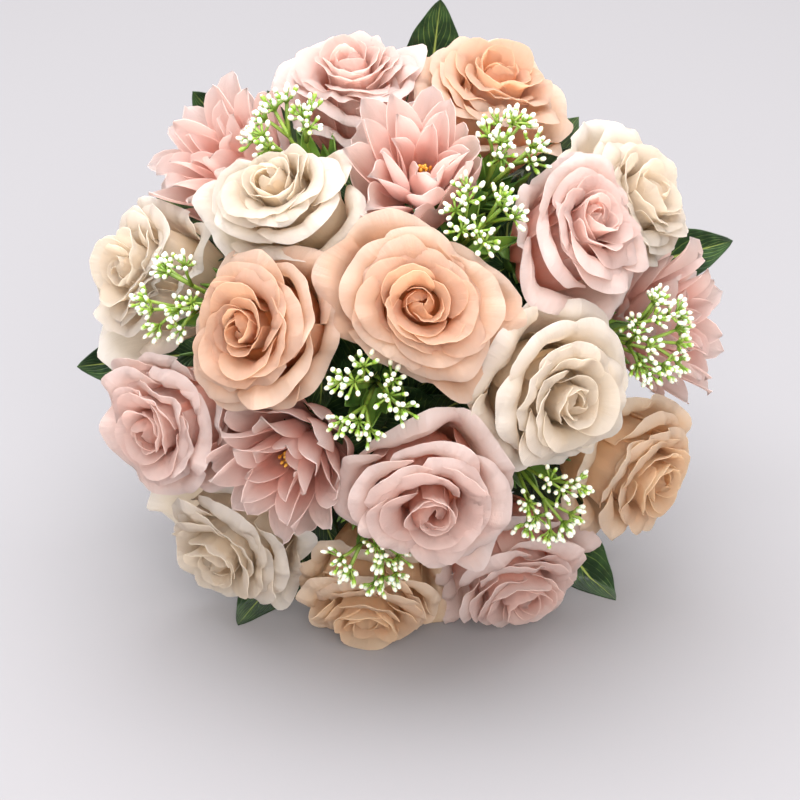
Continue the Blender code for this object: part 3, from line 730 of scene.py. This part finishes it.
def make_dahlia(head, seed):
    """A dahlia: rings of pointed petals, and a tuft of filaments with swollen ends."""
    draw = random.Random(seed)
    bm = sheet_mesh()
    spin = math.radians(head.turn)
    for layer, ring in enumerate(DAHLIA_RINGS):
        for count in range(ring.petals):
            angle = spin + 2 * math.pi * count / ring.petals + draw.uniform(-0.1, 0.1)
            add_sheet(bm, DAHLIA_GRID, dahlia_petal(head, ring, angle, draw), layer / 6)
        spin += math.pi / ring.petals + 0.2
    keep(head.name + "_petals", bm, SILKS["blush"], "blush", head.name, PETAL_CLOTH)

    tuft = sheet_mesh()
    rods = []
    for count in range(FILAMENTS):
        angle, out = GOLDEN_ANGLE * count, 0.75 * math.sqrt(count)
        top = FILAMENT_TOP + draw.uniform(-2, 2)
        radii = np.array([out, out * 1.1, out * 1.25, out * 1.3, out * 1.3])
        heights = np.array([11, 0.6 * top + 4, top - 2.2, top - 1.0, top])
        rods.append((in_head(head, radii * math.cos(angle), radii * math.sin(angle), heights),
                     [0.3, 0.28, 0.3, 0.75, 0.35]))
    add_rods(tuft, rods)
    keep(head.name + "_filaments", tuft, STAMEN, "stamen", head.name + "_stamens")


# Stems

def stem_spots(stalks):
    """Where each stem runs through the bundle: leaning ones outside, then pushed apart evenly."""
    order = sorted(range(len(stalks)), key=lambda k: stalks[k][0])
    spots = np.zeros((len(stalks), 2))
    widest = STEM_SPACING * math.sqrt(len(stalks)) * 0.52
    for rank, k in enumerate(order):
        clock = math.radians(stalks[k][1])
        radius = widest * math.sqrt((rank + 0.3) / len(stalks))
        spots[k] = radius * math.cos(clock), radius * math.sin(clock)
    for _ in range(PUSHES):
        apart = spots[:, None] - spots[None]
        distance = np.linalg.norm(apart, axis=2) + np.eye(len(stalks)) * 99
        push = np.clip(STEM_SPACING - distance, 0, None) / distance
        spots += 0.5 * (apart * push[:, :, None]).sum(axis=1) - 0.002 * spots
    return spots


def stem_route(start, heading, spot, end):
    """A stem's points: a curve from its flower to the neck, then straight along the handle."""
    neck = np.array([spot[0], spot[1], NECK])
    bend_a = start - heading * BEND_UNDER_FLOWER
    bend_b = neck + np.array([0, 0, BEND_ABOVE_NECK])
    route = []
    for t in np.linspace(0, 1, STEM_STEPS):
        a, b, c, d = (1 - t) ** 3, 3 * t * (1 - t) ** 2, 3 * t * t * (1 - t), t**3
        route.append(a * start + b * bend_a + c * bend_b + d * neck)
    route.append(np.array([spot[0], spot[1], end]))
    return route


SEPALS = 5
CALYX_DEPTH = 8.5

# The outline of a calyx: radius and height from the flower's base
CALYX = [(0, -9.6), (1.6, -9.6), (2.6, -8.4), (4.4, -6), (5.6, -3.4), (7.0, -1.4), (11.5, -0.7), (7.0, -0.9),
         (0, -2.2)]


def make_stem(head, spot, end, seed):
    """A stem with the star of sepals that holds its flower, and the leaves under it."""
    draw = random.Random(seed)
    bm = sheet_mesh()
    out = polar(head.lean, head.clock)
    route = stem_route(out * (head.base - SEAT_GAP - CALYX_DEPTH), out, spot, end)
    add_rods(bm, [(route, [STEM_RADIUS] * len(route))])

    def star(angle, radius, height):
        reach = 0.5 + 0.5 * np.cos(SEPALS * angle)
        radius = np.where(radius > 8, 6.2 + 6.3 * reach**1.6, radius)
        return in_head(head, radius * np.cos(angle), radius * np.sin(angle), height)

    add_turned(bm, CALYX, 6 * SEPALS, star)
    keep("stem_of_" + head.name + "_finish", bm, STEM_GREEN, "green", "stem_of_" + head.name)

    leaves = sheet_mesh()
    down, side, _ = head_axes(head)
    for whorl in WHORLS:
        for count in range(whorl.leaves):
            clock = 2 * math.pi * (count + draw.uniform(-0.2, 0.2)) / whorl.leaves + math.radians(head.turn)
            radial = down * math.cos(clock) + side * math.sin(clock)
            heading = unit(radial + out * draw.uniform(*whorl.rise))
            across = np.cross(heading, unit(out - heading * (out @ heading)))
            start = out * (head.base - whorl.below) + heading * 1.2
            shape = leaf_shape(start, heading, across, np.cross(across, heading), draw.uniform(*whorl.length),
                               draw.uniform(*whorl.half_width), draw)
            add_sheet(leaves, whorl.grid, shape)
    for clock in REAR_BLADES.get(head.name, []):
        heading = polar(REAR_BLADE_LEAN, clock)
        across = unit(np.cross([0, 0, 1], heading))
        shape = leaf_shape(heading * REAR_BLADE_START, heading, across, np.cross(heading, across),
                           draw.uniform(49, 53), draw.uniform(13, 15), draw)
        add_sheet(leaves, BLADE_GRID, shape)
    keep("leaves_of_" + head.name, leaves, LEAF_CLOTH, "leaf", "stem_of_" + head.name, BLADE_CLOTH)


def spray_tips(head, draw):
    """The ends of a spray's twigs, arm by arm."""
    spread = 0.62 * SPRAY_REACH * math.tan(math.radians(head.spread)) + 4
    arms = SPRAY_ARMS.get(head.name, USUAL_ARMS)
    for arm in range(arms):
        angle = math.radians(head.turn) + 2 * math.pi * (arm + draw.uniform(-0.12, 0.12)) / arms
        tips = []
        for sway, far, fall in ((0, 0.75, 0), (-0.55, 1.2, 3), (0.5, 1.1, 5)):
            height = SPRAY_REACH - head.base - fall + draw.uniform(-1, 2)
            x = spread * far * math.cos(angle + sway)
            y = spread * far * math.sin(angle + sway)
            tips.append(squeeze(in_head(head, x, y, height), head, 1.6)[0])
        yield tips


def add_bud(bm, base, heading, length, radius, green):
    """A waxy bud: a drop that is narrow at its foot, and greener the younger it is."""
    verts = bmesh.ops.create_uvsphere(bm, u_segments=6, v_segments=5, radius=1.0, calc_uvs=False)["verts"]
    turn = Vector(heading).to_track_quat("Z", "Y").to_matrix()
    uv_layer = bm.loops.layers.uv["petal"]
    depth_layer = bm.verts.layers.float["depth"]
    for vert in verts:
        along = (vert.co.z + 1) / 2
        vert[depth_layer] = green
        swell = radius * (0.62 + 0.5 * along - 0.12 * along**3)
        local = turn @ Vector((vert.co.x * swell, vert.co.y * swell, along * length))
        vert.co = laid_down([base + np.array(local)])[0]
        for loop in vert.link_loops:
            loop[uv_layer].uv = (0.5, along)
            loop.face.smooth = True


def make_spray(head, spot, end, seed):
    """Green twigs that fan out between the flowers, each ending in a cluster of white buds."""
    draw = random.Random(seed)
    finish = random.Random(seed + 50)
    out = polar(head.lean, head.clock)
    knot = out * head.base
    route = stem_route(knot, out, spot, end)
    rods = [(route, [STEM_RADIUS] * len(route))]
    buds = sheet_mesh()
    for tips in spray_tips(head, draw):
        fork = knot + (tips[0] - knot) * 0.5
        for k, tip in enumerate(tips):
            start = knot - out if k == 0 else fork
            bow = (start + tip) / 2 + out * (1.2 if k else 0.4)
            hub = start + (tip - start) * (0.80 if k == 0 else 0.62)
            rods.append(([start, bow * 0.5 + (start + hub) * 0.25, hub], [0.95, 0.8, 0.75]))
            aim = unit(tip - start)
            side = unit(np.cross(aim, [0.31, 0.87, 0.38]))
            other = np.cross(aim, side)
            for count in range(SIDE_BUDS + TOP_BUDS):
                tilt = finish.uniform(0.7, 1.25) if count < SIDE_BUDS else finish.uniform(0.1, 0.5)
                clock = 2 * math.pi * (count + finish.uniform(-0.25, 0.25)) / SIDE_BUDS
                outward = side * math.cos(clock) + other * math.sin(clock)
                heading = unit(aim * math.cos(tilt) + outward * math.sin(tilt))
                stalk = finish.uniform(2.2, 5.4)
                base = squeeze((hub + heading * stalk)[None], head, 1.0)[0]
                bend = hub * 0.45 + base * 0.55 + aim * 0.5
                rods.append(([hub, bend, base + heading * 0.4], [0.58, 0.48, 0.62]))
                add_bud(buds, base, unit(heading + aim * 0.5), finish.uniform(2.7, 3.9),
                        finish.uniform(0.95, 1.3), finish.random() ** 2.5)
    foliage = sheet_mesh()
    down, side, _ = head_axes(head)
    for count in range(SPRIG_BLADES):
        clock = GOLDEN_ANGLE * count
        far = 0.35 + 0.65 * (count / SPRIG_BLADES)
        heading = unit(out + (down * math.cos(clock) + side * math.sin(clock)) * far)
        across = unit(np.cross(heading, out + side * finish.uniform(-0.6, 0.6)))
        start = out * finish.uniform(64, 78) + heading * 4
        shape = leaf_shape(start, heading, across, np.cross(across, heading), finish.uniform(17, 25),
                           finish.uniform(2.6, 4.2), finish)
        add_sheet(foliage, SMALL_BLADE_GRID, shape)
    keep(head.name + "_foliage", foliage, SPRIG_GREEN, "leaf", head.name, BLADE_CLOTH)
    twigs = sheet_mesh()
    add_rods(twigs, rods, 0)
    keep(head.name + "_twigs", twigs, TWIG_GREEN, "green", head.name)
    keep(head.name + "_buds", buds, BUD, "green", head.name)


def leaf_shape(start, along, across, front, length, half_width, draw):
    """The shape of a broad pointed leaf, arched along its midrib, its edges raised and a little waved."""
    phase = draw.uniform(0, 6)

    def shape(u, v):
        width = half_width * np.sin(np.pi * v**0.72) ** 0.8
        width = width * (1 + 0.02 * np.sin(26 * v + phase) * np.abs(u) ** 4)
        arch = LEAF_ARCH * (np.abs(u) * np.sin(np.pi * v) - 1.2 * np.sin(np.pi * v))
        arch = arch + 0.7 * np.abs(u) ** 2 * np.sin(11 * v + phase + u) * np.sin(np.pi * v)
        points = start + np.outer(v * length, along) + np.outer(u * width, across) + np.outer(arch, front)
        return above_surface(points, BLADE_CLOTH / 2), v

    return shape


def make_leaf_spray(leaf, spot, end, seed):
    """A stalk with one leaf at its end and two smaller ones beside it."""
    draw = random.Random(seed)
    start, along, across, front = leaf_line(leaf)
    bm = sheet_mesh()
    shape = leaf_shape(start - along, along, across, front, leaf.length + 1, LEAF_HALF_WIDTH, draw)
    add_sheet(bm, LEAF_GRID, shape)
    fork = start - along * LEAFLET_BACK
    for side in (-1, 1):
        angle = math.radians(LEAFLET_ANGLE + leaf.turn * side)
        heading = along * math.cos(angle) + across * side * math.sin(angle)
        sideways = across * math.cos(angle) - along * side * math.sin(angle)
        shape = leaf_shape(fork - heading * 2, heading, sideways, front, leaf.length * LEAFLET_SCALE,
                           LEAF_HALF_WIDTH * LEAFLET_SCALE, draw)
        add_sheet(bm, LEAFLET_GRID, shape)
    keep(leaf.name + "_blades", bm, LEAF_CLOTH, "leaf", leaf.name, BLADE_CLOTH)
    stalk = sheet_mesh()
    curve = stem_route(fork - along * 3, along, spot, end)
    route = [start + along * 6, start + along * 1.2, *curve]
    add_rods(stalk, [(route, [0.4, 0.8, 1.0, *([STALK_RADIUS] * (len(route) - 3))])])
    keep(leaf.name + "_stalk", stalk, STEM_GREEN, "leaf", leaf.name)


def make_ribbon(spots, end):
    """Satin wound round the stems: each turn lies over the edge of the one below."""
    inner = (np.linalg.norm(spots, axis=1).max() + STEM_RADIUS + SEAT_GAP) / math.cos(math.pi / SLEEVE_SIDES)
    outer = inner + RIBBON_THICKNESS
    bottom = end + STEM_END_SHOWN
    columns, rows = RIBBON_GRID
    low, high = bottom + RIBBON_HEM, RIBBON_TOP - RIBBON_HEM
    heights = [low, bottom, *np.linspace(low, high, rows), RIBBON_TOP, high]
    profile = [(inner, heights[0])] + [(outer, height) for height in heights[1:-1]] + [(inner, heights[-1])]
    profile[1] = (outer - 0.5, bottom)
    profile[-2] = (outer - 0.5, RIBBON_TOP)

    def winding(angle, radius, height):
        turn = (height - bottom) / RIBBON_PITCH + angle / (2 * math.pi)
        lap = turn % 1.0
        ledge = -0.8 * lap + 0.3 * np.exp(-((lap - 0.96) / 0.03) ** 2)
        crease = 0.3 * np.sin(3 * angle + height * 0.5) + 0.2 * np.sin(7 * angle - height * 0.9)
        worn = np.where(radius > inner + 0.1, ledge + crease * 0.5, 0)
        radius = radius + worn
        return np.stack([radius * np.cos(angle), radius * np.sin(angle), height], -1)

    bm = sheet_mesh()
    add_turned(bm, profile + [profile[0]], columns, winding)
    keep("ribbon_winding", bm, SATIN, "ribbon", "ribbon_wrap")


def make_bouquet():
    """Make every piece. Stems, sprays and leaves take the bundle's spots in the order of their lists."""
    flowers = ROSES + DAHLIAS
    stalks = [(item.lean, item.clock) for item in flowers + SPRAYS]
    stalks += [(LEAF_STALK_LEAN, leaf.clock) for leaf in LEAVES]
    spots = stem_spots(stalks)
    slope = math.radians(AXIS_RISE)
    lowest = (-spots[:, 1]).max() + STEM_RADIUS
    end = -(CENTRE_HEIGHT - lowest * math.cos(slope)) / math.sin(slope)
    for count, head in enumerate(ROSES):
        make_rose(head, SEEDS["rose"] + count)
    for count, head in enumerate(DAHLIAS):
        make_dahlia(head, SEEDS["dahlia"] + count)
    places = iter(spots)
    for count, head in enumerate(flowers):
        make_stem(head, next(places), end, SEEDS["stem"] + count)
    for count, head in enumerate(SPRAYS):
        make_spray(head, next(places), end, SEEDS["spray"] + count)
    for count, leaf in enumerate(LEAVES):
        make_leaf_spray(leaf, next(places), end, SEEDS["leaf"] + count)
    make_ribbon(spots, end)


# Floor, light and camera

def make_stage():
    bm = bmesh.new()
    bmesh.ops.create_grid(bm, x_segments=1, y_segments=1, size=FLOOR_SIZE)
    mesh = bpy.data.meshes.new("floor")
    bm.to_mesh(mesh)
    bm.free()
    mesh.materials.append(FLOOR)
    floor = bpy.data.objects.new("floor", mesh)
    bpy.context.scene.collection.objects.link(floor)


def add_light(name, place, aim, size, power, colour):
    light = bpy.data.lights.new(name, "AREA")
    light.size = size
    light.energy = power
    light.color = colour
    lamp = bpy.data.objects.new(name, light)
    bpy.context.scene.collection.objects.link(lamp)
    lamp.location = place
    lamp.rotation_euler = (Vector(place) - Vector(aim)).to_track_quat("Z", "Y").to_euler()


def light_and_camera():
    scene = bpy.context.scene
    scene.view_settings.view_transform = "Standard"
    world = bpy.data.worlds.new("studio")
    world.use_nodes = True
    world.node_tree.nodes["Background"].inputs["Color"].default_value = (1.0, 0.96, 0.93, 1)
    world.node_tree.nodes["Background"].inputs["Strength"].default_value = 1.4
    scene.world = world
    centre = Vector(laid_down([(0, 0, 0)])[0])
    add_light("overhead", (-0.1, 0.1, 1.3), centre, 1.4, 38, (0.96, 0.97, 1.0))
    add_light("front", (0.15, -1.25, 0.8), centre, 0.8, 16, (1.0, 0.95, 0.91))

    towards = Vector((0, -math.cos(math.radians(AXIS_RISE)), math.sin(math.radians(AXIS_RISE))))
    camera = bpy.data.objects.new("camera", bpy.data.cameras.new("camera"))
    scene.collection.objects.link(camera)
    camera.data.lens = LENS
    camera.location = centre + towards * CAMERA_DISTANCE
    camera.rotation_euler = (math.radians(90 - AXIS_RISE - CAMERA_DROP), 0, 0)
    scene.camera = camera


make_bouquet()
make_stage()
light_and_camera()
